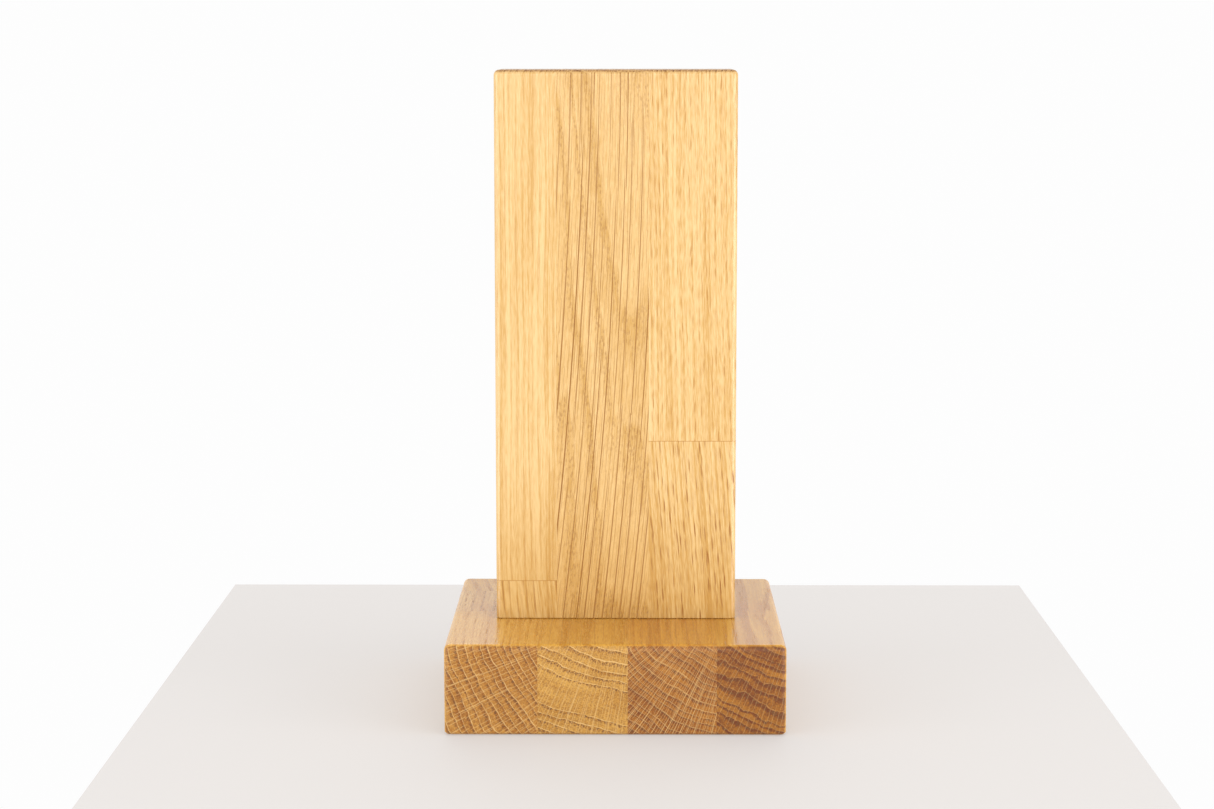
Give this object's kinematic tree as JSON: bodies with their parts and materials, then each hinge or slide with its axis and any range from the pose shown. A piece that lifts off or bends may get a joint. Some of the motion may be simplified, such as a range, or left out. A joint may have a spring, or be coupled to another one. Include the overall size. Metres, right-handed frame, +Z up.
{
  "type": "magnetic knife block",
  "caption": "Upright block of glued oak staves on a square oak base; sealed magnets hold knives flat against both faces.",
  "frame": {"origin": "middle of the footprint, on the plane that the feet stand on", "axes": "+X to the right, +Y to the back, +Z up; -Y is the front, where the base staves show end grain"},
  "size_m": [0.15, 0.15, 0.2895],
  "materials": {
    "board_oak": "light oiled oak, semi-gloss, straight to flamed grain along Z",
    "base_oak": "oiled oak, semi-gloss, end grain on the front and back",
    "base_oak_red": "darker, redder oiled oak, semi-gloss, end grain on the front and back",
    "plug_oak": "raw oak, sanded",
    "dowel_beech": "raw beech, fluted",
    "magnet_nickel": "nickel-plated sintered magnet",
    "screw_steel": "zinc-plated steel",
    "foot_rubber": "matt black anti-slip rubber"
  },
  "bodies": {
    "root": {"back_magnet_plugs": "plug_oak", "back_magnets": "magnet_nickel", "back_stave_center": "board_oak", "back_stave_left_lower": "board_oak", "back_stave_left_upper": "board_oak", "back_stave_right_lower": "board_oak", "back_stave_right_upper": "board_oak", "base_screws": "screw_steel", "base_stave_center_left": "base_oak", "base_stave_center_right": "base_oak_red", "base_stave_left_back": "base_oak", "base_stave_left_front": "base_oak", "base_stave_left_middle": "base_oak", "base_stave_right": "base_oak_red", "dowel_left": "dowel_beech", "dowel_right": "dowel_beech", "foot_back_left": "foot_rubber", "foot_back_right": "foot_rubber", "foot_front_left": "foot_rubber", "foot_front_right": "foot_rubber", "front_magnet_plugs": "plug_oak", "front_magnets": "magnet_nickel", "front_stave_center": "board_oak", "front_stave_left_lower": "board_oak", "front_stave_left_upper": "board_oak", "front_stave_right_lower": "board_oak", "front_stave_right_upper": "board_oak"}
  },
  "joints": []
}
